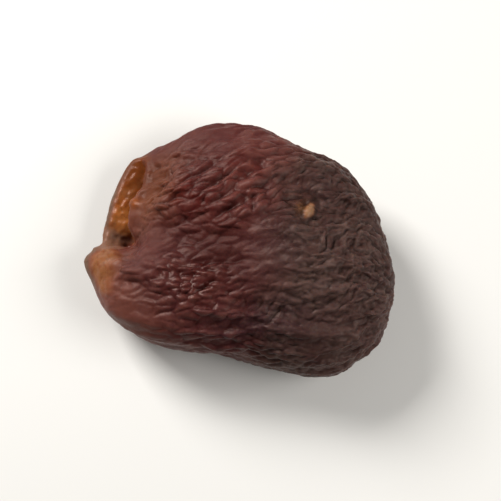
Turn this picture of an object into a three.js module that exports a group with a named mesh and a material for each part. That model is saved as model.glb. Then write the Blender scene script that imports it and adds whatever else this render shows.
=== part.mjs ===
/**
 * A dried apricot, whole and pitted, lying on its broad side.
 *
 * The fruit is one solid. Its leathery skin is one surface that starts at the blossom scar, swells over the
 * broad body, comes together in two lips at the stem end, and turns in there to line the flat pocket that the
 * stone was squeezed out of. Dents, folds and lengthwise wrinkles are raised from that surface by formulas.
 *
 * Millimetres, +Z up. +X runs from the stem end's mouth to the blossom end, and the fruit rests on a small flat
 * spot at z = 0. The origin is the middle of its bounding box, at the bottom.
 */
import * as THREE from "three";

const { smoothstep, clamp, lerp, degToRad, seededRandom } = THREE.MathUtils;

// ---- Driving dimensions ----
const LENGTH = 37.6; // lips to blossom end
const WIDTH = 29.8; // across the broad side
const THICKNESS = 13.4; // before it is pressed flat below
const MOUTH_WIDTH = 13; // the slit that the stone came out of
const POCKET_DEPTH = 6.5; // what is still open of the stone's place
const POCKET_GAP = 0.9; // between its upper and lower lining
const POCKET_WIDTH_SHARE = 0.9; // its width at the lips, of the mouth's width
const LIP_ROUNDING = 0.8; // how far a lip bulges past its skin's last ring
const CORNER_ROUNDING = 0.1; // of that, at the mouth's corners
const UNDER_LIP_OUT = 1.3; // the under lip reaches past the skin's plain end
const UPPER_LIP_BACK = 1.9; // the upper lip stops short of it, and bares the under lip's lining
const LIP_TEAR = 1.9; // how far the upper lip is torn back beside the drawn-out corner
const LIP_PINCH = 0.42; // how much thinner the body gets in the last few millimetres before the lips
const UNDER_PINCH_SHARE = 0.5; // of that on the underside
const TEAR_Y = -4.9;
const HOLLOW = { x: -14.9, y: -4.6, reach: 1.3, depth: 1.1 }; // a pit inside the under lip, at the tear
const NOTCH_Y = -6; // where the under lip ends beside the drawn-out corner
const NOTCH_DEPTH = 0.7;
const BEAK = { y: -8.5, out: 1.2, wide: 1.9, high: 2.4 }; // the drawn-out corner of skin beside the mouth
const FOLD_SPACING = 5.5; // the coarse folds, from ridge to ridge
const FOLD_HEIGHT = 0.6; // from groove to crest
const WRINKLE_SPACING = 2.3;
const WRINKLE_HEIGHT = 0.6;
const WRINKLE_SLANT = 22; // degrees that they turn away from the length, about the skin's outward direction
const SEAM_DEPTH = 0.45; // the suture of the fruit, along one rim
const SCAR_DEPTH = 0.4; // the blossom scar
const SCAR_REACH = 0.1; // of it, as a share of half the width
const FLAT_SPOT_DEPTH = 0.65; // how far the underside is pressed flat

const HALF_LENGTH = LENGTH / 2;
const HALF_WIDTH = WIDTH / 2;
const RIM_HEIGHT = THICKNESS * 0.44; // the widest line lies a little below the middle
const RIM_RISE = 0.7; // how far that line rises and falls from side to side
const RIM_SAG = 0.5; // and how far both sides do so together
const TOP_FULLNESS = 0.72; // 1 is an ellipse in the middle's cross-section, and less is plumper
const UNDER_FULLNESS = 0.62;
const STEM_THINNING = 0.14; // how much thinner the stem half is
const DOME_HEIGHT = THICKNESS - RIM_HEIGHT;
const MOUTH_HEIGHT = RIM_HEIGHT - 0.4;
const LIP_TILT = Math.PI - Math.asin(MOUTH_WIDTH / WIDTH);

// ---- How finely the skin is divided ----
const AROUND = 124; // points round the girth
const SKIN_RINGS = 38; // rings from the blossom scar to the lips
const RING_CROWDING = 0.25; // how much closer the rings lie at both ends
const SCAR_RINGS = 5; // rings over which the wrinkles die out towards the blossom scar
const LIP_RINGS = 4; // rings round the edge of the lips
const GRID_TWIST = 1.0; // radians from end to end, so that the points run along the slanting wrinkles
const WRINKLE_SEED = 11;

// The outline from above, as shares of half the length and half the width.
const PLAN_OUTLINE = [
  [1.0, -0.03],
  [0.925, 0.255],
  [0.735, 0.6],
  [0.447, 0.906],
  [0.05, 0.965],
  [-0.36, 1.0],
  [-0.64, 0.84],
  [-0.87, 0.517],
  [-0.98, 0.18],
  [-0.975, -0.2],
  [-0.915, -0.62],
  [-0.715, -0.9],
  [-0.356, -1.0],
  [0.075, -0.875],
  [0.4, -0.82],
  [0.75, -0.718],
  [0.957, -0.37],
];

// Broad dents that drying leaves, and plump places with a depth below 0: where, how far they reach along and
// across, their turn in degrees, and their depth.
const TOP_DENTS = [
  { x: -7.5, y: -2.5, along: 8.5, across: 3.2, turn: 8, depth: 2.0 }, // sunk in over the empty pocket
  { x: 7, y: 0.5, along: 7, across: 5, turn: 0, depth: -0.8 },
  { x: 5, y: 7.2, along: 6.5, across: 2.4, turn: -20, depth: 0.9 },
  { x: 6, y: -6.5, along: 6, across: 2.2, turn: 16, depth: 0.8 },
  { x: -11, y: 9, along: 4.5, across: 2, turn: 38, depth: 0.6 },
  { x: -10.5, y: -9.5, along: 5, across: 2, turn: -35, depth: 0.5 },
];
const UNDER_DENTS = [
  { x: -9, y: 1.5, along: 6.5, across: 3.2, turn: -10, depth: 1.6 },
  { x: 10, y: 6.5, along: 5, across: 2.4, turn: -30, depth: 1.0 },
  { x: 4, y: -9, along: 7, across: 2.2, turn: 12, depth: 0.9 },
];

// The pocket's lining behind the lips: share of its depth, and shares of the mouth's width and of the gap.
const POCKET_RINGS = [
  { inward: 0.18, wide: 0.92, gap: 0.9 },
  { inward: 0.4, wide: 0.8, gap: 1.0 },
  { inward: 0.64, wide: 0.64, gap: 0.9 },
  { inward: 0.84, wide: 0.44, gap: 0.7 },
  { inward: 0.96, wide: 0.22, gap: 0.4 },
];

/** 1 at no distance, falling off smoothly with it. */
const bell = (distance, reach) => Math.exp(-((distance / reach) ** 2));

/** Radius of the plan outline in each direction, in the outline's own shares. */
function makeOutlineRadius() {
  const points = PLAN_OUTLINE.map(([x, y]) => new THREE.Vector3(x, y, 0));
  const curve = new THREE.CatmullRomCurve3(points, true, "centripetal");
  const steps = 720;
  const fullTurn = 2 * Math.PI;
  const byAngle = curve
    .getPoints(steps)
    .slice(0, steps)
    .map((p) => ({ angle: Math.atan2(p.y, p.x), radius: Math.hypot(p.x, p.y) }))
    .sort((a, b) => a.angle - b.angle);
  return (angle) => {
    const i = Math.max(0, byAngle.findIndex((p) => p.angle > angle));
    const after = byAngle[i];
    const before = byAngle.at(i - 1);
    const span = (after.angle - before.angle + fullTurn) % fullTurn;
    const share = span ? ((angle - before.angle + fullTurn) % fullTurn) / span : 0;
    return lerp(before.radius, after.radius, share);
  };
}
const outlineRadius = makeOutlineRadius();

/** How deep the dents are at a place seen from above. */
function dentDepth(dents, x, y) {
  return dents.reduce((sum, dent) => {
    const turn = degToRad(dent.turn);
    const along = (x - dent.x) * Math.cos(turn) + (y - dent.y) * Math.sin(turn);
    const across = (y - dent.y) * Math.cos(turn) - (x - dent.x) * Math.sin(turn);
    return sum + dent.depth * bell(along, dent.along) * bell(across, dent.across);
  }, 0);
}

/** A point of the smooth skin. tilt runs from 0 at the blossom scar to pi at the stem, round is about X. */
function skinPoint(tilt, round) {
  const along = Math.cos(tilt);
  const across = Math.sin(tilt) * Math.cos(round);
  const up = Math.sin(tilt) * Math.sin(round);

  // The plan: an ellipse, let out or taken in to the outline.
  const fromMiddle = along ** 2 + across ** 2;
  const outline = 1 + (outlineRadius(Math.atan2(across, along)) - 1) * fromMiddle;
  let x = along * HALF_LENGTH * outline;
  const y = across * HALF_WIDTH * outline;

  // The height: a plump dome over a flatter underside, both thinner towards the two ends.
  const pinch = LIP_PINCH * (up > 0 ? 1 : UNDER_PINCH_SHARE) * smoothstep(-along, 0.62, 0.93);
  const plump = 1 - STEM_THINNING * smoothstep(-along, 0.1, 0.8) - pinch;
  const awayFromRim = smoothstep(Math.abs(up), 0.15, 0.65);
  const rimWave = RIM_RISE * Math.sin(0.17 * x + 0.6) * across + RIM_SAG * Math.cos(0.21 * x) * across ** 2;
  let z = lerp(RIM_HEIGHT, MOUTH_HEIGHT, smoothstep(-along, 0.3, 1)) + rimWave;
  if (up > 0) z += plump * (DOME_HEIGHT * up ** TOP_FULLNESS - awayFromRim * dentDepth(TOP_DENTS, x, y));
  else z -= plump * (RIM_HEIGHT * (-up) ** UNDER_FULLNESS - awayFromRim * dentDepth(UNDER_DENTS, x, y));

  // The lips: the under one reaches out, and the upper one draws back, most beside the drawn-out corner.
  const nearMouth = smoothstep(-along, 0.55, 0.92);
  const upper = clamp(Math.sin(round), 0, 1) ** 0.6;
  const under = clamp(-Math.sin(round), 0, 1) ** 0.5;
  const back = upper * (UPPER_LIP_BACK + LIP_TEAR * bell(y - TEAR_Y, 1.9));
  const out = under * UNDER_LIP_OUT * smoothstep(y, NOTCH_Y - 1.5, 0.5);
  x += nearMouth * (back - out + NOTCH_DEPTH * bell(y - NOTCH_Y, 1));
  const beak = x < 0 ? bell(y - BEAK.y, BEAK.wide) * bell(z - MOUTH_HEIGHT, BEAK.high) : 0;
  const scar = bell(Math.hypot(across, up), SCAR_REACH);
  x -= BEAK.out * beak + SCAR_DEPTH * scar;

  const seam = bell(z - RIM_HEIGHT + 1.2, 0.9) * smoothstep(across, 0.3, 0.9);
  return new THREE.Vector3(x, y - SEAM_DEPTH * seam, z);
}

/** Half of the gap between the linings at a place across the mouth. It gapes beside the drawn-out corner. */
function halfGap(y, shut) {
  return 0.5 * POCKET_GAP * (1 + 1.5 * bell(y - TEAR_Y, 1.5) * (1 - shut));
}

/** How far the lining of the under lip is sunk in at a place. */
const hollowDepth = (x, y) => HOLLOW.depth * bell(Math.hypot(x - HOLLOW.x, y - HOLLOW.y), HOLLOW.reach);

/** A point of the lip's rounded edge. share runs from 0 at the skin's last ring to 1 at the lining. */
function lipPoint(share, round) {
  const edge = skinPoint(LIP_TILT, round);
  const turned = (1 - Math.cos(Math.PI * share)) / 2;
  const rounding = LIP_ROUNDING * lerp(CORNER_ROUNDING, 1, Math.abs(Math.sin(round)) ** 0.5);
  const x = edge.x - rounding * Math.sin(Math.PI * share);
  const y = edge.y * lerp(1, POCKET_WIDTH_SHARE, turned);
  const sunk = Math.sin(round) < 0 ? hollowDepth(x, y) : 0;
  const inside = MOUTH_HEIGHT + Math.sin(round) * halfGap(edge.y, 0) - sunk;
  return new THREE.Vector3(x, y, lerp(edge.z, inside, turned));
}

/** A point of the pocket's lining, on one of its rings. */
function pocketPoint(ring, round) {
  const lip = lipPoint(1, round);
  const shut = smoothstep(ring.inward, 0, 0.8);
  const x = lerp(lip.x, -HALF_LENGTH * 0.9, shut) + ring.inward * POCKET_DEPTH;
  const y = lip.y * ring.wide;
  const sunk = Math.sin(round) < 0 ? hollowDepth(x, y) : 0;
  const z = MOUTH_HEIGHT + Math.sin(round) * halfGap(lip.y, shut) * ring.gap - sunk;
  return new THREE.Vector3(x, y, z);
}

/** The rings of points from the blossom scar to the bottom of the pocket, as one closed surface. */
function makeSkin() {
  const roundsAt = (tilt) => {
    const first = (GRID_TWIST * tilt) / Math.PI;
    return Array.from({ length: AROUND }, (_, i) => first + (i * 2 * Math.PI) / AROUND);
  };
  const lipRounds = roundsAt(LIP_TILT);
  const rings = [];
  for (let i = 1; i <= SKIN_RINGS; i++) {
    const share = i / SKIN_RINGS;
    const tilt = LIP_TILT * (share - (RING_CROWDING * Math.sin(2 * Math.PI * share)) / (2 * Math.PI));
    rings.push(roundsAt(tilt).map((round) => skinPoint(tilt, round)));
  }
  for (let i = 1; i <= LIP_RINGS; i++) {
    rings.push(lipRounds.map((round) => lipPoint(i / LIP_RINGS, round)));
  }
  for (const ring of POCKET_RINGS) {
    rings.push(lipRounds.map((round) => pocketPoint(ring, round)));
  }
  const pocketEnd = new THREE.Vector3();
  rings.at(-1).forEach((p) => pocketEnd.addScaledVector(p, 1 / AROUND));
  pocketEnd.x += (1 - POCKET_RINGS.at(-1).inward) * POCKET_DEPTH;
  const points = [skinPoint(0, 0), ...rings.flat(), pocketEnd];

  const at = (ring, i) => 1 + ring * AROUND + (i % AROUND);
  const index = [];
  for (let i = 0; i < AROUND; i++) {
    index.push(0, at(0, i), at(0, i + 1));
    for (let ring = 0; ring + 1 < rings.length; ring++) {
      const [a, b] = [at(ring, i), at(ring, i + 1)];
      const [c, d] = [at(ring + 1, i), at(ring + 1, i + 1)];
      const shortAD = points[a].distanceTo(points[d]) < points[b].distanceTo(points[c]);
      index.push(...(shortAD ? [a, c, d, a, d, b] : [a, c, b, b, c, d]));
    }
    index.push(at(rings.length - 1, i), points.length - 1, at(rings.length - 1, i + 1));
  }
  const skin = new THREE.BufferGeometry().setFromPoints(points);
  skin.setIndex(index);
  return skin;
}

/** Waves scattered over the skin. Where they meet they add up to ridges that fork and die out. */
function makeWaves(skin, spacing, count) {
  const place = skin.getAttribute("position");
  const normal = skin.getAttribute("normal");
  const lengthwise = new THREE.Vector3(1, 0, 0);
  return Array.from({ length: count }, () => {
    const i = 1 + Math.floor(seededRandom() * SKIN_RINGS * AROUND);
    const centre = new THREE.Vector3().fromBufferAttribute(place, i);
    const out = new THREE.Vector3().fromBufferAttribute(normal, i);
    const steeper = 34 * bell(centre.x + 4, 6) * bell(centre.y - 7, 5);
    const turn = degToRad(WRINKLE_SLANT + steeper + 34 * (seededRandom() - 0.5));
    const across = out.clone().cross(lengthwise).normalize().applyAxisAngle(out, turn);
    across.multiplyScalar((2 * Math.PI) / (spacing * lerp(0.75, 1.25, seededRandom())));
    return { centre, across, start: 2 * Math.PI * seededRandom() };
  });
}

/** How far the waves raise the skin at a point, from -0.5 to 0.5. */
function lift(point, waves, spacing) {
  const offset = new THREE.Vector3();
  let real = 0;
  let imaginary = 0;
  for (const wave of waves) {
    offset.subVectors(point, wave.centre);
    const apart = offset.lengthSq() / spacing ** 2;
    if (apart > 4) continue;
    const weight = Math.exp(-apart);
    const phase = wave.start + offset.dot(wave.across);
    real += weight * Math.cos(phase);
    imaginary += weight * Math.sin(phase);
  }
  const calm = 1.4; // lets the ridges fade out where the waves cancel, with no sharp step
  return (0.5 * real) / Math.hypot(real, imaginary, calm);
}

/** How strongly the skin is wrinkled at a point. It is taut at the lips and on the shoulders beside them, and
 *  smoother underneath, where the fruit lay on its tray. */
function wrinkledness(point) {
  const lips = smoothstep(point.x, -HALF_LENGTH, -HALF_LENGTH * 0.62);
  const shoulders = bell(point.x + 12, 5) * bell(Math.abs(point.y + 1) - 11, 2.6);
  const tray = bell(Math.hypot(point.x, point.y), 9) * smoothstep(-point.z, -RIM_HEIGHT / 2, 0);
  const patches = 0.8 + 0.25 * Math.sin(0.55 * point.x + 0.4 * point.y) + 0.2 * Math.sin(0.7 * point.y + 1);
  return lips * (1 - 0.6 * shoulders) * (1 - 0.6 * tray) * patches;
}

/** Raises folds and wrinkles on the skin. */
function wrinkle(skin) {
  skin.computeVertexNormals();
  seededRandom(WRINKLE_SEED);
  const folds = makeWaves(skin, FOLD_SPACING, 260);
  const wrinkles = makeWaves(skin, WRINKLE_SPACING, 1200);
  const place = skin.getAttribute("position");
  const normal = skin.getAttribute("normal");
  const point = new THREE.Vector3();
  const out = new THREE.Vector3();
  for (let i = 1; i < 1 + SKIN_RINGS * AROUND; i++) {
    point.fromBufferAttribute(place, i);
    out.fromBufferAttribute(normal, i);
    const raised =
      FOLD_HEIGHT * lift(point, folds, FOLD_SPACING) +
      WRINKLE_HEIGHT * lift(point, wrinkles, WRINKLE_SPACING);
    const fromScar = smoothstep(Math.ceil(i / AROUND), 1, SCAR_RINGS);
    point.addScaledVector(out, raised * fromScar * wrinkledness(point));
    place.setXYZ(i, ...point);
  }
}

/** Presses the underside flat where the fruit lies on it, and puts the origin under the middle. */
function settle(skin) {
  const place = skin.getAttribute("position");
  skin.computeBoundingBox();
  const floor = skin.boundingBox.min.z + FLAT_SPOT_DEPTH;
  for (let i = 0; i < place.count; i++) {
    place.setZ(i, Math.max(place.getZ(i), floor));
  }
  skin.computeBoundingBox();
  const middle = skin.boundingBox.getCenter(new THREE.Vector3());
  skin.translate(-middle.x, -middle.y, -floor);
}

function makeApricot() {
  const skin = makeSkin();
  wrinkle(skin);
  settle(skin);
  skin.computeVertexNormals();
  const material = new THREE.MeshStandardMaterial({ color: 0x6b3a30, roughness: 0.55, metalness: 0 });
  const apricot = new THREE.Mesh(skin, material);
  apricot.name = "apricot";
  return apricot;
}

const part = new THREE.Group();
part.add(makeApricot());
export default part;
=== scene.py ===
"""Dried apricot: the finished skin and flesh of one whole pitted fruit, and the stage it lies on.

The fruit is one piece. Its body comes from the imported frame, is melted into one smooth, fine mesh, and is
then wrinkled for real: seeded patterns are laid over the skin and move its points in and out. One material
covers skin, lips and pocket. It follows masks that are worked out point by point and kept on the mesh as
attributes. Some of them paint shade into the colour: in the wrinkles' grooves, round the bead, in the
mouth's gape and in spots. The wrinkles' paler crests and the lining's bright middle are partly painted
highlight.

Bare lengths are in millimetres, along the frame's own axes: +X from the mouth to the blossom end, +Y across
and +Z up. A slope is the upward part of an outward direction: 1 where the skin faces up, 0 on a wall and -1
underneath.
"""

import math

import bpy
import numpy as np
from bpy.props import FloatProperty, FloatVectorProperty, IntProperty, PointerProperty
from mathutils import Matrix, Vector, kdtree, noise


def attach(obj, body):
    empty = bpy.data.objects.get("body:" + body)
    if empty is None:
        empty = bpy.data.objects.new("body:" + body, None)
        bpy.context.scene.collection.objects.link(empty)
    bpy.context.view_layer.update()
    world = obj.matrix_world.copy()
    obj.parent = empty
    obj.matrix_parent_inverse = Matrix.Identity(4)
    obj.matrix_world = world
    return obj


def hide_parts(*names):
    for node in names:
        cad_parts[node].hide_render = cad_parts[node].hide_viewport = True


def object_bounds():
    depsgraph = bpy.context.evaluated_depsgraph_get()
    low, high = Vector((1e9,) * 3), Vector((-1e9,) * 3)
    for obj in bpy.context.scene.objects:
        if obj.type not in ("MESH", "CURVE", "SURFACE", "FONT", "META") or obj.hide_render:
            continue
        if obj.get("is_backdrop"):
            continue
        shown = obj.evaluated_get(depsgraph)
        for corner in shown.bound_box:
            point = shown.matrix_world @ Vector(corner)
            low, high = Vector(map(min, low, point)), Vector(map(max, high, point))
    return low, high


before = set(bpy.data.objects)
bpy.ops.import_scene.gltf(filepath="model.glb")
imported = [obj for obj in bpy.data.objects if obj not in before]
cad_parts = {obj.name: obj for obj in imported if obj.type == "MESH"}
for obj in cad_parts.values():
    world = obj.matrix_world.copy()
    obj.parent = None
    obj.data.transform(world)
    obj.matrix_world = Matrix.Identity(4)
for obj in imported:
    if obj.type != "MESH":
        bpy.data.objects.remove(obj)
CAD_LOW, CAD_HIGH = (corner.copy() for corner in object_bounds())

bl_info = {
    "name": "Dried apricot",
    "version": (1, 0, 0),
    "blender": (4, 5, 0),
    "location": "View3D > Sidebar > Apricot",
    "description": "Finishes the skin and flesh of a dried apricot and lights it on a pale table",
    "category": "Object",
}

MM = 0.001
NODE = "apricot"
PIECE = "apricot_skin"
HALF_LENGTH = (CAD_HIGH.x - CAD_LOW.x) / 2 / MM
HALF_WIDTH = (CAD_HIGH.y - CAD_LOW.y) / 2 / MM
THICKNESS = (CAD_HIGH.z - CAD_LOW.z) / MM
MOUTH_HEIGHT = 0.375 * THICKNESS  # of the slit between the lips
FAR = 9.0  # stands for anywhere that is too far off to matter


def linear(hex_colour):
    """An sRGB hex colour as the linear red, green and blue that shaders use."""
    shares = (int(hex_colour[i : i + 2], 16) / 255 for i in (1, 3, 5))
    return tuple(c / 12.92 if c <= 0.04045 else ((c + 0.055) / 1.055) ** 2.4 for c in shares)


def colour(name, description, hex_colour):
    """A colour setting whose default is an sRGB hex value."""
    return FloatVectorProperty(
        name=name, description=description, subtype="COLOR", min=0, max=1, default=linear(hex_colour)
    )


def length(name, description, millimetres):
    """A length setting whose default is given in millimetres."""
    return FloatProperty(name=name, description=description, unit="LENGTH", default=millimetres * MM)


def angle(name, description, degrees):
    """An angle setting whose default is given in degrees."""
    return FloatProperty(name=name, description=description, unit="ROTATION", default=math.radians(degrees))


# ---------------------------------------------------------------------------------------------- settings


class ApricotBody(bpy.types.PropertyGroup):
    """Sizes of the fruit's surface."""

    cell: length("Cell", "Size of the fine mesh's faces", 0.192)
    smoothing: IntProperty(name="Smoothing", description="Rounds that melt away facets", default=14, min=0)
    fold_spacing: length("Fold spacing", "From one fold to the next", 2.4)
    fold_depth: length("Fold depth", "From crest to groove of the folds", 0.36)
    wrinkle_spacing: length("Wrinkle spacing", "From ridge to ridge", 1.2)
    wrinkle_depth: length("Wrinkle depth", "From crest to groove", 0.40)
    crease_spacing: length("Crease spacing", "From one fine crease to the next", 0.65)
    crease_depth: length("Crease depth", "From crest to groove of the fine creases", 0.09)
    vein_spacing: length("Vein spacing", "From one thin raised line of the dusty half to the next", 2.2)
    vein_height: length("Vein height", "Of the thin raised lines", 0.14)
    streak_spacing: length("Streak spacing", "Between the fine folds of the dusty half", 1.15)
    streak_depth: length("Streak depth", "From crest to groove of those folds", 0.34)
    waviness: length("Waviness", "How far the wrinkles stray from a straight run", 0.45)
    slant: angle("Slant", "How far the wrinkles turn away from the fruit's length", 27)
    seed: IntProperty(name="Seed", description="Picks one fruit's wrinkles", default=6, min=0)


class ApricotColours(bpy.types.PropertyGroup):
    """Colours of skin and flesh."""

    skin: colour("Skin", "Red-brown of the sunken middle", "#461e1b")
    ruddy: colour("Ruddy skin", "Where the fruit ripened in the sun", "#541d18")
    plum: colour("Plum skin", "Darkest, purplish skin", "#34191f")
    # The groove colours are painted shade at the bottoms of wrinkles, round the bead and in spots; the red
    # one also makes dark freckles.
    groove: colour("Groove", "Bottom of a wrinkle", "#2e0806")
    # The crest colours paint the wrinkles' tops paler, partly as drier, dustier skin and partly as painted
    # highlight; the red one also makes clouds, pale freckles and paler patches.
    crest: colour("Crest", "Dry top of a wrinkle", "#683f37")
    bloom: colour("Bloom", "Grey-brown dusty skin of the blossom half", "#3f2924")
    # Painted shade and partly painted highlight of the dusty half.
    bloom_groove: colour("Bloom groove", "Bottom of a wrinkle in the dusty half", "#180c08")
    bloom_crest: colour("Bloom crest", "Dustiest tops of the wrinkles", "#5e4942")
    crimson: colour("Crimson skin", "Deep red behind the upper lip", "#470a07")
    mauve: colour("Mauve skin", "Smooth, dull skin under the mouth's corner", "#461d1c")
    rim: colour("Rim", "Pinkish skin of the taut rim", "#693a2e")
    hem: colour("Hem", "Pale dry edge of the skin round the flesh", "#5e4535")
    glow: colour("Glow", "Thin skin that the flesh glows through", "#653419")
    flesh: colour("Flesh", "Amber flesh in the mouth", "#86461a")
    dry_flesh: colour("Dry flesh", "Paler flesh along the drawn-out corner", "#7c4c2c")
    # Partly a painted highlight along the lining's lower middle.
    bright_flesh: colour("Bright flesh", "Lightest amber, in the middle of the mouth", "#985a2a")
    moist_flesh: colour("Moist flesh", "Darker flesh at the mouth's upper end", "#5e2c10")
    fibre: colour("Fibre", "Pinkish fibres at the mouth's lower end", "#74513f")
    # The darkest flesh, partly painted shade in the mouth's gape.
    pit_flesh_and_shade: colour("Pit", "Darkest flesh, where the mouth gapes", "#4c180d")
    juice: colour("Juice", "Bead of dried juice", "#826046")
    stain: colour("Stain", "Skin beside the bead", "#6b4320")


class ApricotStage(bpy.types.PropertyGroup):
    """Table, light and camera."""

    table: colour("Table", "Pale table top", "#e2dfd9")
    key_power: FloatProperty(name="Key light", description="Power", unit="POWER", default=1.4)
    fill_power: FloatProperty(name="Fill light", description="Power", unit="POWER", default=0.7)
    room_light: FloatProperty(name="Room light", description="Even light from all round", default=0.12)
    azimuth: angle("Azimuth", "Side that the camera stands on", 22)
    elevation: angle("Elevation", "Camera above the table", 78)
    lens: FloatProperty(name="Lens", description="Focal length", unit="CAMERA", default=100)
    frame_share: FloatProperty(
        name="Share of the frame", description="Fruit's length in it", subtype="FACTOR", default=0.62
    )


# ------------------------------------------------------------------------------------------ mesh helpers


def step(values, start, end):
    """Smooth step from 0 at start to 1 at end."""
    share = np.clip((values - start) / (end - start), 0, 1)
    return share * share * (3 - 2 * share)


def bell(distance, reach):
    """1 at no distance, falling off smoothly with it."""
    return np.exp(-((distance / reach) ** 2))


def deselect_all():
    """Leaves edit mode and selects nothing."""
    if bpy.context.object and bpy.context.object.mode != "OBJECT":
        bpy.ops.object.mode_set(mode="OBJECT")
    bpy.ops.object.select_all(action="DESELECT")


def make_active(obj):
    """Makes one object the only selected one and the active one."""
    deselect_all()
    obj.select_set(True)
    bpy.context.view_layer.objects.active = obj


def apply_modifier(obj, name, kind, **settings):
    """Adds a modifier, sets it and applies it."""
    modifier = obj.modifiers.new(name, kind)
    for key, value in settings.items():
        setattr(modifier, key, value)
    make_active(obj)
    bpy.ops.object.modifier_apply(modifier=modifier.name)


def read_points(mesh):
    """Places in millimetres and outward directions of a mesh's points."""
    places = np.empty(len(mesh.vertices) * 3)
    mesh.vertices.foreach_get("co", places)
    outward = np.empty(len(mesh.vertices) * 3, dtype=np.float32)
    mesh.vertex_normals.foreach_get("vector", outward)
    return places.reshape(-1, 3) / MM, outward.reshape(-1, 3).astype(float)


def write_points(mesh, places):
    """Moves a mesh's points to places in millimetres."""
    mesh.vertices.foreach_set("co", (places * MM).ravel())
    mesh.update()


def store(mesh, name, values):
    """Keeps one number for each point of a mesh, for the material to read."""
    attribute = mesh.attributes.new(name, "FLOAT", "POINT")
    attribute.data.foreach_set("value", np.clip(values, 0, 1).astype(np.float32))


def lumps(places, size, offset):
    """Smooth noise from about -1 to 1, in lumps of about that size. Each offset gives other lumps."""
    shift = Vector((offset, 2.3 * offset, 0.7 * offset))
    return np.array([noise.noise(Vector(p) / size + shift) for p in places])


def edge_beside(x, y, half_width, counted=slice(None)):
    """X of the body's edge at the stem end beside each point. Only the counted points make up the edge."""
    width = 0.3  # of the rows that the edge is read in
    rows = np.arange(-half_width, half_width, width)
    row = np.clip(np.searchsorted(rows, y), 0, len(rows) - 1)
    edge = np.full(len(rows), HALF_LENGTH)
    np.minimum.at(edge, row[counted], x[counted])
    return np.interp(y, rows - width / 2, edge)


# ------------------------------------------------------------------------------------------ the wrinkles


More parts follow.
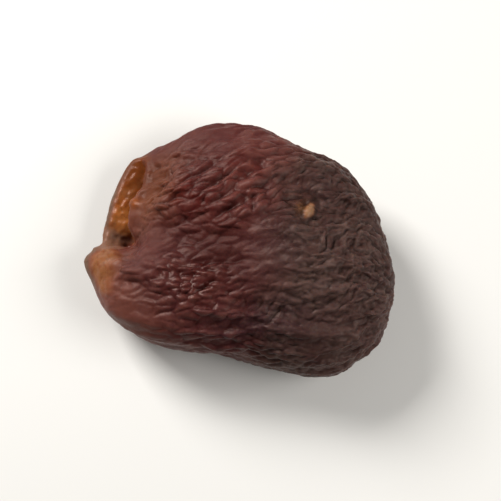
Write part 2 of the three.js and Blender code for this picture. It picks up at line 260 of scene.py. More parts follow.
class SkinField:
    """The skin's points, sorted along X so that those round a place are found fast, and patterns on them."""

    STRAYS = (1.3, 4.9, 9.7)  # noise offsets that make patterns wavy along X, Y and Z
    STRAY_SIZE = 2.2  # of the bends
    SAME_SIDE = 0.1  # how alike two outward directions are on one side of the skin, at least
    OVERLAP = 8  # waves that reach one point
    WAVE_REACH = 1.05  # of a wave, in ridge spacings
    WAVE_CUT = 2.1  # reaches from a wave's middle, past which it isn't felt
    UNEVENNESS = 0.25  # by how much of itself the ridge spacing strays
    FAINT = 0.7  # summed waves as weak as this make ridges half as high
    SMALLEST_CELL = 0.6  # as wide as the finest cells
    TRIES = 2.5  # at a cell's middle, for the room of the smallest cell
    CROWDING = 0.62  # cell sizes from a cell's middle, within which no other may lie
    CELL_CUT = 1.9  # cell lengths from a cell's middle, past which it isn't felt
    RISE = 0.75  # cell sizes that a cell takes to rise from its groove

    def __init__(self, places, outward, area, waviness, seed):
        self.order = np.argsort(places[:, 0], kind="stable")
        strays = np.stack([lumps(places, self.STRAY_SIZE, offset) for offset in self.STRAYS], axis=1)
        self.places = (places + waviness * strays)[self.order]
        self.outward = outward[self.order]
        self.area = area
        self.seed = seed
        self.patterns = 0
        self.tree = kdtree.KDTree(len(self.places))
        for i, place in enumerate(self.places):
            self.tree.insert(place, i)
        self.tree.balance()

    def draws(self, count):
        """Points from all over the skin, each with three random shares from -1 to 1.

        The points are the nearest ones to drawn places, and each pattern has draws of its own, so that a
        small change to the mesh or to one pattern leaves the others as they are.
        """
        self.patterns += 1
        random = np.random.default_rng((self.seed, self.patterns))
        low, high = self.places.min(axis=0), self.places.max(axis=0)
        for shares in random.uniform(size=(count, 6)):
            _, i, _ = self.tree.find(low + shares[:3] * (high - low))
            yield i, *(2 * shares[3:] - 1)

    def near(self, i, far):
        """The stretch of points round point i, those of them on its side of the skin, and their offsets."""
        first, last = np.searchsorted(self.places[:, 0], self.places[i, 0] + np.array((-far, far)))
        stretch = slice(first, last)
        offset = self.places[stretch] - self.places[i]
        close = np.einsum("ij,ij->i", offset, offset) < far**2
        close &= self.outward[stretch] @ self.outward[i] > self.SAME_SIDE
        return stretch, close, offset[close]

    def directions(self, i, turn):
        """Unit vectors along and across the wrinkles at point i, turned away from the fruit's length."""
        out = self.outward[i]
        side = np.cross(out, (1.0, 0.0, 0.0))
        side /= max(np.linalg.norm(side), 1e-6)
        ahead = np.cross(side, out)
        return (
            ahead * math.cos(turn) + side * math.sin(turn),
            side * math.cos(turn) - ahead * math.sin(turn),
        )

    def unsorted(self, values):
        """Values in the mesh's own order of points."""
        back = np.empty_like(values)
        back[self.order] = values
        return back

    def ridges(self, spacing, turn_at, spread):
        """Ridges with rounded tops, from waves that add up and cancel: 1 on a crest, 0 in a groove."""
        reach = self.WAVE_REACH * spacing
        total = np.zeros(len(self.places), dtype=complex)
        count = int(self.OVERLAP * self.area / (math.pi * reach**2))
        for i, swing, wider, shift in self.draws(count):
            turn = turn_at(self.places[i], self.outward[i]) + spread * swing
            _, across = self.directions(i, turn)
            wave = across * 2 * math.pi / (spacing * (1 + self.UNEVENNESS * wider))
            stretch, close, offset = self.near(i, self.WAVE_CUT * reach)
            weight = np.exp(-np.einsum("ij,ij->i", offset, offset) / reach**2)
            phase = offset @ wave + math.pi * shift
            total[stretch][close] += weight * np.exp(1j * phase)
        strength = np.abs(total)
        sure = strength / (strength + self.FAINT)
        return self.unsorted(1 - sure * (1 - np.abs(np.cos(np.angle(total) / 2))))

    def net(self, size_at, turn_at, spread):
        """A net of furrows round pillow-like cells: 1 in a cell's middle, 0 in a groove."""
        nearest = np.full(len(self.places), FAR)
        second = nearest.copy()
        count = int(self.TRIES * self.area / self.SMALLEST_CELL**2)
        for i, swing, _, _ in self.draws(count):
            if nearest[i] < self.CROWDING:
                continue
            size = size_at(self.places[i])
            turn = turn_at(self.places[i], self.outward[i]) + spread * swing
            ahead, across = self.directions(i, turn)
            stretch, close, offset = self.near(i, self.CELL_CUT * max(size))
            beside = offset @ self.outward[i]
            apart = np.sqrt((offset @ ahead / size[0]) ** 2 + (offset @ across / size[1]) ** 2 + beside**2)
            first, then = nearest[stretch], second[stretch]
            then[close] = np.minimum(then[close], np.maximum(first[close], apart))
            first[close] = np.minimum(first[close], apart)
        return self.unsorted(np.sqrt(np.clip((second - nearest) / self.RISE, 0, 1)))


# ------------------------------------------------------------------------------------------- the regions

COARSE, MIDDLING = 5.0, 1.9  # sizes of the lumps that keep edges from running straight

# Edges. A share rises smoothly from 0 at the first value to 1 at the second.
UPPER_SIDE = (-0.3, 0.4)  # slope
DUSTY_HALF = (-3.3, 3.3)  # X from its border
MOUTH_ENDS = (7.1, 5.9)  # Y either way
MOUTH_BACK = (-9.0, -10.5)  # X
LOWER_LINING = (MOUTH_HEIGHT - 2.4, MOUTH_HEIGHT - 1.9)  # Z
LOWER_LINING_SLOPE = (0.2, 0.6)
UPPER_LINING = (MOUTH_HEIGHT + 2.2, MOUTH_HEIGHT + 1.6)  # Z
UPPER_LINING_SLOPE = (0.3, -0.1)
INNER_FLESH = (MOUTH_HEIGHT + 2.2, MOUTH_HEIGHT + 1.4)  # Z
HEM = (0.25, 1.1)  # in from the body's edge
HEM_END = (-12.0, -10.5)  # Y, below the mouth
LIP_ENDS = (7.5, 6.0)  # Y either way
LIP_EDGE_ENDS = (7.2, 6.0)  # Y either way
UPPER_LIP = (MOUTH_HEIGHT + 0.2, MOUTH_HEIGHT + 1.2)  # Z
LIP_FRONT = (-13.5, -14.5)  # X
TAUT_LIPS = (-12.5, -15.5)  # X
BEAK_HEM = (0.4, 1.6)  # in from the body's edge
BEAK_ENDS = (0.2, 2.2)  # width of its flesh
BRIGHT_FLESH = (0.5, 1.3)  # in from the body's edge
MOIST_FLESH = (1.0, 3.5)  # Y
FIBRES = (-3.0, -3.7)  # Y
RIM = (0.76, 1.02)  # from the middle of the fruit to its outline, as a share
RIM_END = (-3.0, -11.0)  # X
FLAT_SKIN = (0.15, 0.55)  # slope either way
OFF_THE_TABLE = (0.3, 2.5)  # Z
GASH_START, GASH_END = (0, 0.25), (1, 0.75)  # along a gash, as shares of its length

# Lines, along which something is given for each Y.
BORDER = ((-9, 4.9), (-2, 3.3), (2, 1.3), (11, 0.9))  # X where the dusty half begins
BEAK = (  # width of the flesh on the drawn-out corner
    (-12.8, 0), (-11.2, 2.2), (-9.0, 4.1), (-7.3, 4.0), (-6.3, 3.0), (-5.2, 0),
)
LIP = ((-5, -12.6), (-1, -13.5), (3, -14.2))  # X of the upper lip's edge
LIP_EDGE = (  # how far the upper lip's edge is drawn back
    (-6.6, 0), (-5.6, 0.7), (-4.6, 1.1), (-3.7, 1.0), (-2.9, 0.3), (-1.8, 0), (-0.6, -0.15), (-0.1, -0.5),
    (0.5, -0.5), (1.0, -0.1), (2.2, 0.15), (3.6, 0.45), (5.0, 0.4), (6.2, 0),
)

# Places, as X and Y.
NODULE = (-15.5, 0.2)  # of flesh on the upper lip's edge
NOTCH = (-17.4, -6.2)  # between the lip and the drawn-out corner
PIT = (-14.4, -4.8)  # where the mouth gapes
SMOOTH_SKIN = (12.0, -7.5)
CALM_SKIN = (2.2, -0.8)
PEBBLY_SKIN = (-5.0, -8.5)
SUNKEN_MIDDLE = (-4.6, -2.0)
FLANK = (-9.3, 0.25)  # of a fold, too steep as it comes
BEAD = (5.15, 6.1)  # of dried juice
BEAD_SHAPE = (0.9, 1.9)  # stretch along X and Y
BEAD_HEIGHT, BEAD_REACH = 0.32, 0.55
DENT_DEPTH, DENT_WIDTH = 0.1, 0.3  # of the dent round the bead
JUICE = (0.65, 0.35)  # from the bead's middle, unstretched
PLUM_STRIP = ((0.8, -10.8), (8.4, -6.2))  # the darkest stretch of skin: from, to
GASHES = (  # the long grooves beside the sunken middle: from, to, depth
    ((-6.3, -4.9), (1.2, -2.0), 0.34),
    ((-4.6, -5.3), (-0.4, -3.5), 0.28),
    ((-7.4, -6.5), (-4.2, -6.0), 0.30),
    ((-3.8, -7.8), (-1.9, -5.4), 0.30),
    ((-14.9, 3.9), (-15.0, 5.2), 0.15),
    ((-15.0, 5.2), (-14.3, 5.8), 0.15),
    ((-14.3, 5.8), (-13.3, 5.6), 0.12),
    ((-5.0, 1.0), (-2.2, 5.9), 0.30),
    ((-2.2, 5.9), (-1.0, 3.0), 0.25),
)
SPOTS = (  # mask, middle, reach, stretch along X and Y, how ragged the edge is, share
    ("crimson", (-8.6, 3.4), 2.9, (1, 1.3), 0.6, 1.0),
    ("crimson", (-7.3, 11.0), 3.2, (1.2, 1), 0, 0.6),
    ("plum", CALM_SKIN, 4.0, (1, 1), 0, 0.5),
    ("moist", (-14.7, 4.0), 2.2, (1, 1.3), 0, 0.7),
    # Spots of painted shade, which lay the groove colour on the skin.
    ("painted_shade", (-14.7, 4.0), 2.2, (1, 1.3), 0, 0.28),
    ("painted_shade", (-3.0, -2.2), 3.6, (1.7, 1), 0, 0.55),
    ("painted_shade", (-8.5, 8.5), 3.0, (1.4, 1), 0.5, 0.3),
    ("painted_shade", (-9.7, -11.3), 1.8, (1.4, 1), 0.5, 0.3),
    ("painted_shade", (5.0, -9.5), 2.4, (1.4, 1), 0.5, 0.4),
    ("painted_shade", (10.5, -7.8), 2.2, (1.4, 1), 0.5, 0.35),
    ("painted_shade", (14.0, -7.3), 2.0, (1.4, 1), 0.5, 0.35),
    ("painted_shade", (3.0, 2.2), 1.8, (1.4, 1), 0.5, 0.35),
    ("painted_shade", (2.0, -1.2), 3.0, (1.4, 1), 0.5, 0.4),
    # Patches that are given the paler crest colour.
    ("paler_patches", (7.5, -3.0), 3.0, (1.4, 1), 0.5, 0.4),
    ("paler_patches", (-3.0, 6.0), 3.0, (1.4, 1), 0.5, 0.3),
    ("paler_patches", (-2.0, 11.3), 2.5, (1.4, 1), 0.5, 0.35),
    ("matt", (-2.5, -2.0), 3.2, (1.6, 1), 0, 1.0),
    ("gloss", (-4.5, -7.5), 3.4, (1.3, 1), 0, 1.0),
    ("stain", (BEAD[0] - 0.8, BEAD[1] + 0.1), 0.85, (1, 1), 0, 0.85),
)

MASKS = (  # what the material reads: kinds of skin, kinds of flesh, spots of painted shade, and the painted shade and highlight that follow how high the wrinkles stand
    "bloom", "ruddy", "plum", "mauve", "crimson", "rim", "glow", "hem", "stain", "taut", "painted_shade", "paler_patches",
    "matt", "gloss", "flesh", "pale", "bright", "moist", "fibres", "pit_flesh_and_shade", "juice", "crests", "grooves",
)


def beside_line(x, y, start, end):
    """How far along a line places lie, as a share of its length, and how far from it."""
    (x0, y0), (x1, y1) = start, end
    long = math.hypot(x1 - x0, y1 - y0)
    along = ((x - x0) * (x1 - x0) + (y - y0) * (y1 - y0)) / long
    beside = ((y - y0) * (x1 - x0) - (x - x0) * (y1 - y0)) / long
    return along / long, beside


class Regions:
    """Where each kind of skin and flesh is on the fruit, and where shade is painted on, as shares from 0 to
    1 for each point.

    Two things aren't shares: the depth of the gashes and the distance from the bead of juice.
    """

    def __init__(self, places, outward):
        self.x, self.y, self.z = places.T
        self.slope = outward[:, 2]
        self.above = step(self.slope, *UPPER_SIDE)
        self.coarse = lumps(places, COARSE, 3.1)
        self.middling = lumps(places, MIDDLING, 8.4)
        self.mark_flesh()
        self.mark_taut_skin()
        self.mark_tints()
        self.mark_gashes()
        self.mark_bead(lumps(places, 0.9, 21.4))
        self.mark_wrinkled_skin()
        for name, *spot, share in SPOTS:
            stronger = np.maximum(getattr(self, name, 0), share * self.spot(*spot) * self.above)
            setattr(self, name, stronger)

    def spot(self, middle, reach, stretch=(1, 1), ragged=0):
        """A roundish place, stretched along X or Y: 1 in its middle, falling off towards its reach."""
        apart = np.hypot((self.x - middle[0]) / stretch[0], (self.y - middle[1]) / stretch[1])
        return bell(apart + ragged * self.middling, reach)

    def mark_flesh(self):
        """The mouth's linings are bare flesh inside a hem of dry skin, and so is the drawn-out corner."""
        x, y, z, middling = self.x, self.y, self.z, self.middling
        inward = x - edge_beside(x, y, HALF_WIDTH)
        in_mouth = step(np.abs(y + 0.5 * middling), *MOUTH_ENDS) * step(x, *MOUTH_BACK)
        low = step(self.slope, *LOWER_LINING_SLOPE) * step(z, *LOWER_LINING)
        high = step(self.slope, *UPPER_LINING_SLOPE) * step(z, *UPPER_LINING)
        bare = step(inward + 0.2 * middling, *HEM)
        width = np.interp(y, *zip(*BEAK)) + 0.4 * middling
        self.beak = step(inward + 0.3 * middling, *BEAK_HEM) * step(inward, width + 1.4, width - 1.2)
        self.beak = self.beak * step(width, *BEAK_ENDS) * self.above
        self.nodule = self.spot(NODULE, 0.75) * (z > MOUTH_HEIGHT) * step(x, *LIP_FRONT)
        self.flesh = np.maximum(in_mouth * np.where(z < MOUTH_HEIGHT, low * bare, high), self.beak)
        self.flesh = np.maximum(self.flesh, 0.9 * self.nodule)
        self.hem = (1 - bare) * step(y, *HEM_END) * step(y, *LIP_ENDS) * step(self.slope, 0, 0.3)

        # From its upper end to its lower one the lining is moist, bright, pale and fibrous, and then gapes.
        # Its bright middle is partly a painted highlight, and its gape is partly painted shade.
        lining = in_mouth * (z < MOUTH_HEIGHT + 0.6)
        self.moist = 0.7 * lining * step(y + middling, *MOIST_FLESH)
        self.bright = 0.85 * lining * bell(y + 1.6 + 0.4 * middling, 1.2) * step(inward, *BRIGHT_FLESH)
        self.pale = np.maximum(self.beak, 0.5 * lining * bell(y + 2.6, 1.0))
        self.fibres = 0.9 * lining * step(y + 0.4 * middling, *FIBRES)
        self.pit_flesh_and_shade = 0.95 * in_mouth * step(z, *INNER_FLESH) * self.spot(PIT, 1.0, (1, 1.6), 0.3)

    def mark_taut_skin(self):
        """Skin is taut at the lips, on the shoulders beside them and on a smooth band under the mouth."""
        x, y, middling = self.x, self.y, self.middling
        lips = step(x + 1.2 * middling, *TAUT_LIPS)
        shoulders = bell(x + 11, 7) * bell(np.abs(y + 1) - 12.8, np.where(y < 0, 4.2, 3.0))
        self.band = bell(x + 11.2 + middling, 2.4) * bell(y + 5.3, 4.2)
        self.taut = np.clip(np.maximum(np.maximum(lips, shoulders), 0.75 * self.band), 0, 1)

    def mark_tints(self):
        """The blossom half is dusty. The stem half is red, with a thinner, paler rim and a dark strip."""
        x, y, coarse, middling = self.x, self.y, self.coarse, self.middling
        border = np.interp(y, *zip(*BORDER))
        self.bloom = step(x - border + 1.8 * coarse + 1.2 * middling, *DUSTY_HALF)
        self.ruddy = bell(x + 4.5, 6) * bell(y - 6, 6) * self.above
        along, beside = beside_line(x, y, *PLUM_STRIP)
        self.plum = 0.9 * bell(along - 0.5 + 0.15 * middling, 0.75) * bell(beside + middling, 2.6)
        self.plum = self.plum * self.above

        # The flesh glows through the thin skin of the upper lip, past a paler fringe.
        lip = x - np.interp(y, *zip(*LIP))
        fringe = step(lip + 0.3 * middling, 0, -1) * step(np.abs(y), *LIP_ENDS) * self.above
        self.glow = bell(x + 13.5 + 0.8 * middling, 2.9) * bell(y - 1, 6.5) * self.above
        self.glow = self.glow * (1 - 0.3 * fringe)

        # The rim is pink below the mouth. Above it, where it reaches further along the fruit, it is mauve
        # and darker, partly as painted shade.
        from_middle = np.hypot(x / HALF_LENGTH, y / HALF_WIDTH)
        rim = step(from_middle + 0.12 * coarse, *RIM) * step(x + 2 * coarse - 4 * step(y, 6, 11), *RIM_END)
        self.rim = np.maximum(rim * (1 - 0.7 * step(y, 1, 8)), 0.8 * fringe * step(y, 4, 1))
        self.mauve = np.maximum(0.9 * self.band, rim * step(y, 3, 8))

    def mark_gashes(self):
        """Depth of the long gashes, which run out at both ends."""
        self.gash = np.zeros(len(self.x))
        for start, end, depth in GASHES:
            along, beside = beside_line(self.x, self.y, start, end)
            ends = step(along, *GASH_START) * step(along, *GASH_END)
            groove = depth * ends * bell(beside + 0.3 * self.middling, 0.32) * self.above
            self.gash = np.maximum(self.gash, groove)

    def mark_bead(self, ragged):
        """The bead of juice is longer than wide, and its edge is a little ragged."""
        apart = np.hypot((self.x - BEAD[0]) / BEAD_SHAPE[0], (self.y - BEAD[1]) / BEAD_SHAPE[1])
        self.from_bead = apart + FAR * (1 - self.above)
        self.from_bead += 0.2 * ragged
        self.juice = step(self.from_bead, *JUICE)

    def mark_wrinkled_skin(self):
        """How far in the wrinkles run: less on taut skin, bare flesh and steep sides, and where the fruit
        lies.
        """
        smooth = self.spot(SMOOTH_SKIN, 4.5)
        calm = self.spot(CALM_SKIN, 4)
        middle = self.spot(SUNKEN_MIDDLE, 3)
        pebbly = self.spot(PEBBLY_SKIN, 3.3)
        flat = step(np.abs(self.slope), *FLAT_SKIN)
        raised = step(self.z, *OFF_THE_TABLE)
        self.wrinkled = (1 - 0.85 * self.taut) * (1 - self.flesh) * (1 - 0.6 * smooth)
        self.wrinkled *= 1 - np.maximum(0.72 * calm, 0.2 * middle)
        self.wrinkled *= 1 + 0.4 * pebbly
        self.wrinkled *= 0.5 + 0.5 * flat
        self.wrinkled *= 0.4 + 0.6 * raised
        self.wrinkled *= 1 - 0.6 * bell(self.from_bead, 0.9)

        # The folds and cells behind the upper lip stand out most.
        self.bold = bell(self.x + 4, 5) * bell(self.y - 6, 4) * self.above


# ----------------------------------------------------------------------------------------- the materials

# The skin's own grain is finer than this one, which is drawn as coarse as it needs to show.
SPECKLES = {"blotches": 4.0, "clouds": 2.2, "freckles": 0.7, "grain": 0.22}  # sizes
SHARES = (  # share, what it is read from, the two values that it runs between, and the share at each
    ("blotched skin", "blotches", 0.4, 0.7, 0.0, 0.3),
    ("mottling", "taut", 0.0, 1.0, 0.4, 0.12),
    ("clouded skin", "clouds", 0.5, 0.7, 0.0, "mottling"),
    ("pale freckles", "freckles", 0.54, 0.7, 0.0, "mottling"),
    ("dark freckles", "freckles", 0.46, 0.3, 0.0, "mottling"),
    ("clouded flesh", "clouds", 0.5, 0.62, 0.0, 0.7),
    ("freckled flesh", "freckles", 0.5, 0.36, 0.0, 0.5),
    # The skin is waxy, dull where it is mauve or matt, shiny where it is glossy, and flesh is shinier still.
    ("roughness", "grain", 0.3, 0.7, 0.38, 0.55),
    ("roughness", "mauve", 0.0, 1.0, "roughness", 0.68),
    ("roughness", "matt", 0.0, 1.0, "roughness", 0.62),
    ("roughness", "gloss", 0.0, 1.0, "roughness", 0.3),
    ("roughness", "flesh", 0.0, 1.0, "roughness", 0.25),
)
COATS = (  # the colour that is coated, the coat's colour and its share. Each coat covers those before it.
    ("crest", "bloom_crest", "bloom"),
    ("crest", "rim", "glow"),
    ("groove", "bloom_groove", "bloom"),
    ("flesh", "dry_flesh", "clouded flesh"),
    ("flesh", "dry_flesh", "pale"),
    # Partly a painted highlight.
    ("flesh", "bright_flesh", "bright"),
    ("flesh", "moist_flesh", "freckled flesh"),
    ("skin", "ruddy", "ruddy"),
    ("skin", "rim", "rim"),
    ("skin", "glow", "glow"),
    ("skin", "mauve", "mauve"),
    ("skin", "crimson", "crimson"),
    ("skin", "bloom", "bloom"),
    ("skin", "plum", "plum"),
    ("skin", "plum", "blotched skin"),
    ("skin", "crest", "clouded skin"),
    ("skin", "stain", "stain"),
    ("skin", "crest", "pale freckles"),
    ("skin", "groove", "dark freckles"),
    ("skin", "crest", "paler_patches"),
    # Partly painted highlight: the paler colour of the wrinkles' tops.
    ("skin", "crest", "crests"),
    ("skin", "hem", "hem"),
    ("skin", "flesh", "flesh"),
    ("skin", "moist_flesh", "moist"),
    # Painted shade in spots.
    ("skin", "groove", "painted_shade"),
    ("skin", "fibre", "fibres"),
    # Partly painted shade, in the mouth's gape.
    ("skin", "pit_flesh_and_shade", "pit_flesh_and_shade"),
    ("skin", "juice", "juice"),
    # Painted shade in the wrinkles' grooves and in the ring round the bead.
    ("skin", "groove", "grooves"),
)
SHARE, BELOW, COAT = 0, 6, 7  # a colour mix's inputs
COATED = 2  # its output


def add_node(tree, kind, inputs=None, **settings):
    """Adds a node, sets what it is told, and links or fills its inputs."""
    node = tree.nodes.new(kind)
    for key, value in settings.items():
        setattr(node, key, value)
    for key, value in (inputs or {}).items():
        if isinstance(value, bpy.types.NodeSocket):
            tree.links.new(value, node.inputs[key])
        else:
            node.inputs[key].default_value = value
    return node


def dried_skin(colours):
    """Leathery fruit skin dried in the sun: dull and slightly waxy, with flesh that glows through it."""
    material = bpy.data.materials.new("Sun-dried apricot skin")
    material.use_nodes = True
    tree = material.node_tree
    tree.nodes.clear()

    shares = {
        name: add_node(tree, "ShaderNodeAttribute", attribute_name=name).outputs["Fac"] for name in MASKS
    }
    place = add_node(tree, "ShaderNodeTexCoord").outputs["Object"]
    for name, size in SPECKLES.items():
        inputs = {"Vector": place, "Scale": 1 / (size * MM), "Detail": 3.0, "Roughness": 0.55}
        shares[name] = add_node(tree, "ShaderNodeTexNoise", inputs).outputs["Fac"]
    for name, *settings in SHARES:
        inputs = {i: shares.get(setting, setting) for i, setting in enumerate(settings)}
        shares[name] = add_node(tree, "ShaderNodeMapRange", inputs).outputs["Result"]

    tones = {name: (*getattr(colours, name), 1.0) for name in ApricotColours.__annotations__}
    for coated, coat, share in COATS:
        inputs = {SHARE: shares[share], BELOW: tones[coated], COAT: tones[coat]}
        tones[coated] = add_node(tree, "ShaderNodeMix", inputs, data_type="RGBA").outputs[COATED]

    inputs = {"Strength": 0.35, "Distance": 0.06 * MM, "Height": shares["grain"]}
    bump = add_node(tree, "ShaderNodeBump", inputs).outputs["Normal"]
    shader = add_node(
        tree,
        "ShaderNodeBsdfPrincipled",
        {
            "Base Color": tones["skin"],
            "Roughness": shares["roughness"],
            "IOR": 1.45,
            "Specular IOR Level": 0.22,
            "Specular Tint": (1.0, 0.72, 0.62, 1.0),
            "Normal": bump,
            "Subsurface Weight": 0.25,
            "Subsurface Radius": (1.0, 0.35, 0.15),
            "Subsurface Scale": 1.2 * MM,
            "Sheen Weight": 0.06,
            "Sheen Roughness": 0.4,
            "Sheen Tint": (1.0, 0.75, 0.65, 1.0),
        },
    )
    add_node(tree, "ShaderNodeOutputMaterial", {"Surface": shader.outputs["BSDF"]})
    return material


def table_top(stage):
    """Painted board: a matt, even, pale surface."""
    material = bpy.data.materials.new("Matt painted board")
    material.use_nodes = True
    shader = material.node_tree.nodes["Principled BSDF"]
    shader.inputs["Base Color"].default_value = (*stage.table, 1.0)
    shader.inputs["Roughness"].default_value = 0.7
    return material


# ----------------------------------------------------------------------------------------- the operators


class APRICOT_OT_fruit(bpy.types.Operator):
    """Make the fruit: smooth and refine its body, wrinkle the skin and give it its colours"""

    bl_idname = "apricot.fruit"
    bl_label = "Dried apricot"

    WELD = 1e-6  # metres between loose corners that are one point
    NOTCH_REACH, NOTCH_ROUNDS = 1.3, 60  # how far and how much the notch is melted
    LIP_REACH = 1.3  # how far behind its edge the upper lip is still drawn back
    RAGGEDNESS = 0.3  # of the upper lip's edge
    FLANK_SHARE, FLANK_LENGTH, FLANK_WIDTH = 0.75, 2.6, 1.3  # how much and how far the flank is eased
    PIT_DEPTH, PIT_REACH, PIT_STRETCH = 0.8, 1.0, 1.4
    SPREAD = {  # degrees that each pattern strays from the wrinkles' direction, at most
        "folds": 22, "cells": 20, "creases": 40, "streaks": 18, "veins": 50,
    }
    STEEPER = math.radians(32)  # turn of the bold wrinkles
    STRAY = math.radians(70)  # turn of the wrinkles in the dusty half, either way
    STRAY_SIZE = 4.5  # of the patches that turn one way
    VEIN_MESH = (1.3, 0.8)  # length and width of the veins' meshes, in vein spacings
    VEIN_WIDTH = 0.4  # share of a mesh's rise that a vein takes up at its edge
    CRUMPLED = 0.4  # how alike a point's old and new outward directions are where it is crumpled, at most
    CRUMPLE_REACH, CRUMPLE_ROUNDS = 0.5, 14  # how far and how much a crumple is melted
    UNTOUCHED = 0.05  # share below which a point isn't melted

    def execute(self, context):
        body = context.scene.apricot_body
        fruit = self.copy_body(body)
        mesh = fruit.data
        places, outward = read_points(mesh)
        regions = Regions(places, outward)
        raised = self.wrinkle_skin(body, mesh, places, outward, regions) + self.swell_flesh(places, regions)
        places += outward * raised[:, None]
        places[:, 2] = np.maximum(places[:, 2], 0)
        write_points(mesh, places)
        self.ease_crumples(fruit, outward)

        regions.flesh = np.maximum(regions.flesh, regions.juice)
        for name in MASKS:
            store(mesh, name, getattr(regions, name))
        mesh.materials.clear()
        mesh.materials.append(dried_skin(context.scene.apricot_colours))
        make_active(fruit)
        bpy.ops.object.shade_smooth()
        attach(fruit, "root")
        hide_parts(NODE)
        return {"FINISHED"}

    def copy_body(self, body):
        """A copy of the frame's solid, melted into one smooth fine mesh."""
        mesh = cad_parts[NODE].data.copy()
        mesh.name = PIECE
        fruit = bpy.data.objects.new(PIECE, mesh)
        bpy.context.collection.objects.link(fruit)
        make_active(fruit)
        bpy.ops.object.mode_set(mode="EDIT")
        bpy.ops.mesh.select_all(action="SELECT")
        bpy.ops.mesh.remove_doubles(threshold=self.WELD)
        bpy.ops.object.mode_set(mode="OBJECT")
        apply_modifier(fruit, "Cells", "REMESH", mode="VOXEL", voxel_size=body.cell)
        apply_modifier(fruit, "Melt", "SMOOTH", factor=0.5, iterations=body.smoothing)
        places, _ = read_points(fruit.data)
        from_notch = np.hypot(places[:, 0] - NOTCH[0], places[:, 1] - NOTCH[1])
        self.soften(fruit, from_notch, self.NOTCH_REACH, self.NOTCH_ROUNDS)
        self.draw_back_lip(fruit.data)
        self.ease_flank(fruit.data)
        return fruit

    def soften(self, fruit, distance, reach, rounds):
        """Melts the surface further round places that lie within reach."""
        shares = bell(distance, reach)
        group = fruit.vertex_groups.new(name="soft")
        for i in np.flatnonzero(shares > self.UNTOUCHED):
            group.add([int(i)], float(shares[i]), "REPLACE")
        apply_modifier(fruit, "Soften", "SMOOTH", factor=0.5, iterations=rounds, vertex_group="soft")
        fruit.vertex_groups.clear()

    def draw_back_lip(self, mesh):
        """Makes the straight edge of the upper lip as uneven as a torn one."""
        places, _ = read_points(mesh)
        x, y, z = places.T
        upper = (z > MOUTH_HEIGHT + 1) & (np.abs(y) < 8)
        near = bell(x - edge_beside(x, y, 9, upper), self.LIP_REACH) * step(z, *UPPER_LIP)
        near *= step(np.abs(y), *LIP_EDGE_ENDS)
        uneven = np.where(near > 0.01, lumps(places * (1, 1, 0.3), 1.1, 15.1), 0)
        places[:, 0] += near * (np.interp(y, *zip(*LIP_EDGE)) + self.RAGGEDNESS * uneven)
        write_points(mesh, places)

    def ease_flank(self, mesh):
        """Makes one fold's steep flank gentler, its top lower and its foot higher, and deepens the mouth's
        gape.
        """
        places, outward = read_points(mesh)
        x, y, z = places.T
        upper = (outward[:, 2] > 0) * (z > MOUTH_HEIGHT + 1)
        beside = y - FLANK[1]
        eased = self.FLANK_SHARE * beside * bell(beside, self.FLANK_WIDTH)
        places[:, 2] -= eased * bell(x - FLANK[0], self.FLANK_LENGTH) * upper
        from_pit = np.hypot(x - PIT[0], (y - PIT[1]) / self.PIT_STRETCH)
        lower = (z < MOUTH_HEIGHT) * step(outward[:, 2], 0, 0.5)
        places[:, 2] -= self.PIT_DEPTH * bell(from_pit, self.PIT_REACH) * lower
        write_points(mesh, places)

    def wrinkle_skin(self, body, mesh, places, outward, regions):
        """Heights of the wrinkled skin. Marks in the regions where its furrows get painted shade and its
        ridge tops a paler colour, partly painted highlight.
        """
        area = sum(face.area for face in mesh.polygons) / MM**2
        field = SkinField(places, outward, area, body.waviness / MM, body.seed)

        def direction(place, out):
            """Turn of the wrinkles: steeper at the bold ones, straying in the dusty half."""
            steeper = self.STEEPER * bell(place[0] + 2.5, 4.5) * bell(place[1] - 5.5, 4)
            stray = self.STRAY * noise.noise(Vector(place) / self.STRAY_SIZE) * step(place[0], 0, 4)
            return body.slant + stray + (steeper if out[2] > 0 else 0.0)

        def cell_size(place):
            """Length and width of a cell: short where dusty, small where pebbly and large where bold."""
            dusty = step(place[0], 0, 5)
            pebbly = bell(place[0] + 5, 5) * bell(place[1] + 7.5, 3)
            bold = bell(place[0] + 4, 5) * bell(place[1] - 6, 5)
            long = 3.2 - 1.2 * dusty - 1.9 * pebbly + 0.8 * bold
            across = 1.0 + 0.05 * dusty - 0.3 * pebbly + 0.25 * bold
            return np.array((long, across)) * body.wrinkle_spacing / MM

        def mesh_size(place):
            """Length and width of the meshes between the veins, the same everywhere."""
            return np.array(self.VEIN_MESH) * (body.vein_spacing / MM)

        spread = {name: math.radians(degrees) for name, degrees in self.SPREAD.items()}
        folds = field.ridges(body.fold_spacing / MM, direction, spread["folds"])
        cells = field.net(cell_size, direction, spread["cells"])
        creases = field.ridges(body.crease_spacing / MM, direction, spread["creases"])
        streaks = field.ridges(body.streak_spacing / MM, direction, spread["streaks"])
        veins = bell(field.net(mesh_size, direction, spread["veins"]), self.VEIN_WIDTH)

        wrinkled, bloom, bold = regions.wrinkled, regions.bloom, regions.bold
        fold = body.fold_depth / MM * (folds - 1) * wrinkled * (1 - 0.3 * bloom + 0.7 * bold)
        fold += body.streak_depth / MM * (streaks - 1) * wrinkled * bloom
        patches = 0.8 + 0.1 * bloom + 0.35 * lumps(places, 3.6, 6.6)
        cell = body.wrinkle_depth / MM * (cells - 1) * wrinkled * patches
        cell *= 1 - 0.5 * bloom + 0.45 * bold
        crease = body.crease_depth / MM * (creases - 1) * (0.3 + 0.7 * wrinkled) * (1 - regions.flesh)
        crease *= (1 + 1.3 * bloom - 0.4 * regions.ruddy) * (1 - 0.6 * regions.taut)
        veined = veins * bloom * wrinkled * step(lumps(places, 5.5, 12.2), -0.3, 0.3)

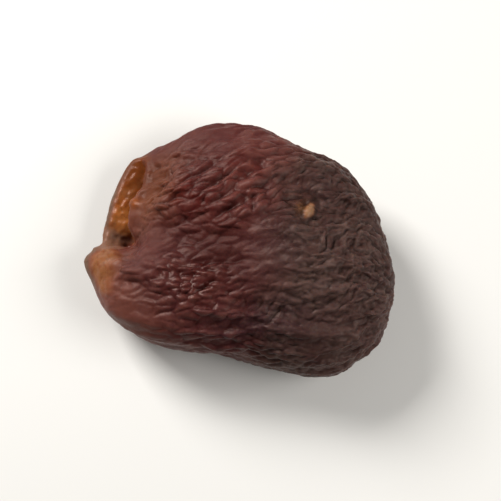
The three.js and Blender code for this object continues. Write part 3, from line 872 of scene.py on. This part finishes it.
        # Grooves get painted shade, and crests a paler colour, partly as drier skin and partly as painted
        # highlight. The ring round the bead gets painted shade too.
        relief = 0.6 * fold + 1.6 * cell + 1.2 * crease - 1.4 * regions.gash
        relief = 1 + relief * (1 + 0.35 * bloom) - 0.35 * bell(regions.from_bead - 0.85, 0.2)
        regions.grooves = 0.9 * np.clip((0.75 - relief) / 0.45, 0, 1)
        dry = np.maximum(0.45 * wrinkled * np.clip((relief - 0.75) / 0.25, 0, 1), 0.7 * veined)
        regions.crests = dry * (1 - 0.7 * regions.crimson)
        return fold + cell + crease - regions.gash + body.vein_height / MM * veined

    def swell_flesh(self, places, regions):
        """Heights of the uneven flesh, the nodule on the lip and the bead of juice, which lies in a dent."""
        pulp = 0.2 * lumps(places, 1.1, 5.5) + 0.12 * lumps(places, 0.6, 7.7)
        threads = 0.08 * lumps(places * (1, 0.5, 1), 0.4, 2.7)
        pulp += threads * regions.fibres
        bead = BEAD_HEIGHT * bell(regions.from_bead, BEAD_REACH)
        dent = DENT_DEPTH * bell(regions.from_bead - 0.95, DENT_WIDTH)
        return pulp * regions.flesh * (1 - 0.7 * regions.beak) + 0.25 * regions.nodule + (bead - dent)

    def ease_crumples(self, fruit, outward):
        """Smooths the few places where sunken furrows meet and the skin would run into itself."""
        places, tilted = read_points(fruit.data)
        from_crumple = np.full(len(places), FAR)
        for i in np.flatnonzero(np.einsum("ij,ij->i", tilted, outward) < self.CRUMPLED):
            from_crumple = np.minimum(from_crumple, np.linalg.norm(places - places[i], axis=1))
        self.soften(fruit, from_crumple, self.CRUMPLE_REACH, self.CRUMPLE_ROUNDS)


class APRICOT_OT_stage(bpy.types.Operator):
    """Lay the fruit on a pale table in soft light and set the camera above it"""

    bl_idname = "apricot.stage"
    bl_label = "Table, light and camera"

    # In metres.
    TABLE_SIZE = 2.0
    KEY_PLACE, KEY_SIZE = (-0.235, 0.10, 0.19), 0.13
    FILL_PLACE, FILL_SIZE = (0.23, 0.04, 0.20), 0.20
    NEAREST_SEEN = 0.01

    def execute(self, context):
        stage = context.scene.apricot_stage
        deselect_all()
        bpy.ops.mesh.primitive_plane_add(size=self.TABLE_SIZE, location=(0, 0, 0))
        table = context.object
        table.name = "table_top"
        table.data.materials.append(table_top(stage))
        table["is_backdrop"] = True

        self.add_light("key", self.KEY_PLACE, self.KEY_SIZE, stage.key_power)
        self.add_light("fill", self.FILL_PLACE, self.FILL_SIZE, stage.fill_power)
        world = bpy.data.worlds.new("Soft room")
        world.use_nodes = True
        background = world.node_tree.nodes["Background"]
        background.inputs["Color"].default_value = (1, 1, 1, 1)
        background.inputs["Strength"].default_value = stage.room_light
        context.scene.world = world
        context.scene.view_settings.view_transform = "Standard"
        self.add_camera(context, stage)
        return {"FINISHED"}

    def add_light(self, name, place, size, power):
        """A square soft box that points at the fruit."""
        bpy.ops.object.light_add(type="AREA", location=place)
        lamp = bpy.context.object
        lamp.name = name
        lamp.data.size = size
        lamp.data.energy = power
        lamp.rotation_euler = Vector(place).to_track_quat("Z", "Y").to_euler()

    def add_camera(self, context, stage):
        """Stands as far off as gives the fruit its share of the frame, and looks at its middle."""
        camera_data = bpy.data.cameras.new("Camera")
        camera_data.lens = stage.lens
        camera_data.clip_start = self.NEAREST_SEEN
        wide = 2 * HALF_LENGTH * MM / stage.frame_share
        away = wide * stage.lens / camera_data.sensor_width
        flat = math.cos(stage.elevation)
        back = Vector(
            (math.sin(stage.azimuth) * flat, -math.cos(stage.azimuth) * flat, math.sin(stage.elevation))
        )
        camera = bpy.data.objects.new("Camera", camera_data)
        context.collection.objects.link(camera)
        camera.location = Vector((0, 0, THICKNESS * MM / 2)) + back * away
        camera.rotation_euler = (-back).to_track_quat("-Z", "Y").to_euler()
        context.scene.camera = camera


class APRICOT_PT_panel(bpy.types.Panel):
    """Lists the fruit's and the stage's settings and operators"""

    bl_idname = "APRICOT_PT_panel"
    bl_label = "Dried apricot"
    bl_space_type = "VIEW_3D"
    bl_region_type = "UI"
    bl_category = "Apricot"

    def draw(self, context):
        for name, operator in (
            ("apricot_body", "apricot.fruit"),
            ("apricot_colours", None),
            ("apricot_stage", "apricot.stage"),
        ):
            box = self.layout.box()
            settings = getattr(context.scene, name)
            for key in settings.__annotations__:
                box.prop(settings, key)
            if operator:
                box.operator(operator)


GROUPS = {
    "apricot_body": ApricotBody,
    "apricot_colours": ApricotColours,
    "apricot_stage": ApricotStage,
}
CLASSES = (*GROUPS.values(), APRICOT_OT_fruit, APRICOT_OT_stage, APRICOT_PT_panel)


def register():
    """Adds the settings, the operators and the panel."""
    for cls in CLASSES:
        bpy.utils.register_class(cls)
    for name, group in GROUPS.items():
        setattr(bpy.types.Scene, name, PointerProperty(type=group))


def unregister():
    """Takes them out again."""
    for name in GROUPS:
        delattr(bpy.types.Scene, name)
    for cls in reversed(CLASSES):
        bpy.utils.unregister_class(cls)


def main():
    """Makes the fruit and its stage, and works out their sizes."""
    register()
    bpy.ops.apricot.fruit()
    bpy.ops.apricot.stage()
    low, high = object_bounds()
    sizes = {"cad": [list(CAD_LOW), list(CAD_HIGH)], "visual": [list(low), list(high)]}


if __name__ == "__main__":
    main()
